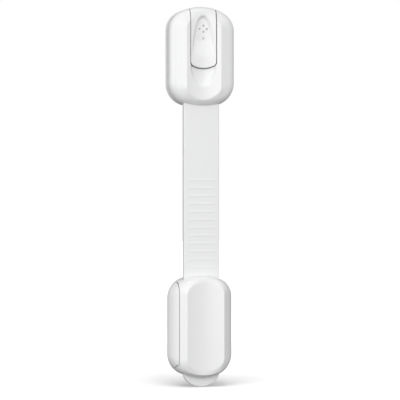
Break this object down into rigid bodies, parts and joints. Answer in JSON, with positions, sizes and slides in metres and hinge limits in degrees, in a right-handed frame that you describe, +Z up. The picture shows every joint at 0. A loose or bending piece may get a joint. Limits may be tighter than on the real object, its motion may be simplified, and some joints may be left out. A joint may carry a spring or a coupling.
{
  "type": "cabinet safety lock",
  "caption": "Adjustable strap lock for cupboard doors: a push-up release latch and a lidded anchor pad, both with adhesive backs, joined by a flexible ridged strap.",
  "frame": {"origin": "centre of the anchor's adhesive face", "axes": "+Z up along the strap from the anchor to the latch, -Y out of the visible fronts, +Y into the surface the pads are stuck to, +X to the right seen from the front"},
  "size_m": [0.036, 0.0158, 0.2013],
  "materials": {
    "shell_white": "satin-gloss moulded plastic",
    "button_white": "satin-gloss moulded plastic",
    "strap_white": "satin flexible moulded plastic",
    "inner_plastic": "plain moulded plastic",
    "steel": "zinc-plated",
    "spring_steel": "drawn wire",
    "foam_tape": "closed-cell foam tape"
  },
  "bodies": {
    "anchor": {"anchor_base": "shell_white", "anchor_adhesive": "foam_tape", "lid_hinge_pin": "steel"},
    "lid": {"anchor_lid": "shell_white", "grip_comb": "inner_plastic"},
    "strap_tail": {"strap_tail": "strap_white"},
    "strap_segment_1": {"strap_segment_1": "strap_white"},
    "strap_segment_2": {"strap_segment_2": "strap_white"},
    "strap_segment_3": {"strap_segment_3": "strap_white"},
    "strap_segment_4": {"strap_segment_4": "strap_white"},
    "latch": {"strap_head": "strap_white", "latch_cover": "shell_white", "latch_floor": "shell_white", "latch_screws": "steel", "catch_spring": "spring_steel", "button_spring": "spring_steel"},
    "button": {"release_button": "button_white", "button_slider": "inner_plastic"},
    "door_plate": {"latch_base": "shell_white", "latch_adhesive": "foam_tape"}
  },
  "joints": [
    {"name": "lid_swing", "type": "hinge", "parent": "anchor", "child": "lid", "pos_m": [0.0158, -0.0032, 0], "axis": [0, 0, 1], "range_deg": [0, 110]},
    {"name": "strap_slide", "type": "slide", "parent": "anchor", "child": "strap_tail", "axis": [0, 0, 1], "range_m": [-0.042, 0.0168]},
    {"name": "strap_bend_1", "type": "hinge", "parent": "strap_tail", "child": "strap_segment_1", "pos_m": [0, -0.007, 0.0714], "axis": [1, 0, 0], "range_deg": [-18, 18], "stiffness_Nm_per_rad": 0.4},
    {"name": "strap_bend_2", "type": "hinge", "parent": "strap_segment_1", "child": "strap_segment_2", "pos_m": [0, -0.007, 0.0804], "axis": [1, 0, 0], "range_deg": [-18, 18], "stiffness_Nm_per_rad": 0.4},
    {"name": "strap_bend_3", "type": "hinge", "parent": "strap_segment_2", "child": "strap_segment_3", "pos_m": [0, -0.007, 0.0894], "axis": [1, 0, 0], "range_deg": [-18, 18], "stiffness_Nm_per_rad": 0.4},
    {"name": "strap_bend_4", "type": "hinge", "parent": "strap_segment_3", "child": "strap_segment_4", "pos_m": [0, -0.007, 0.0984], "axis": [1, 0, 0], "range_deg": [-18, 18], "stiffness_Nm_per_rad": 0.4},
    {"name": "strap_bend_5", "type": "hinge", "parent": "strap_segment_4", "child": "latch", "pos_m": [0, -0.007, 0.1074], "axis": [1, 0, 0], "range_deg": [-18, 18], "stiffness_Nm_per_rad": 0.4},
    {"name": "button_slide", "type": "slide", "parent": "latch", "child": "button", "axis": [0, 0, 1], "range_m": [0, 0.004], "stiffness_N_per_m": 300, "springref_m": -0.003, "deforming": ["button_spring", "catch_spring"]},
    {"name": "base_release", "type": "slide", "parent": "latch", "child": "door_plate", "axis": [0, 1, 0], "range_m": [0, 0.012]}
  ]
}
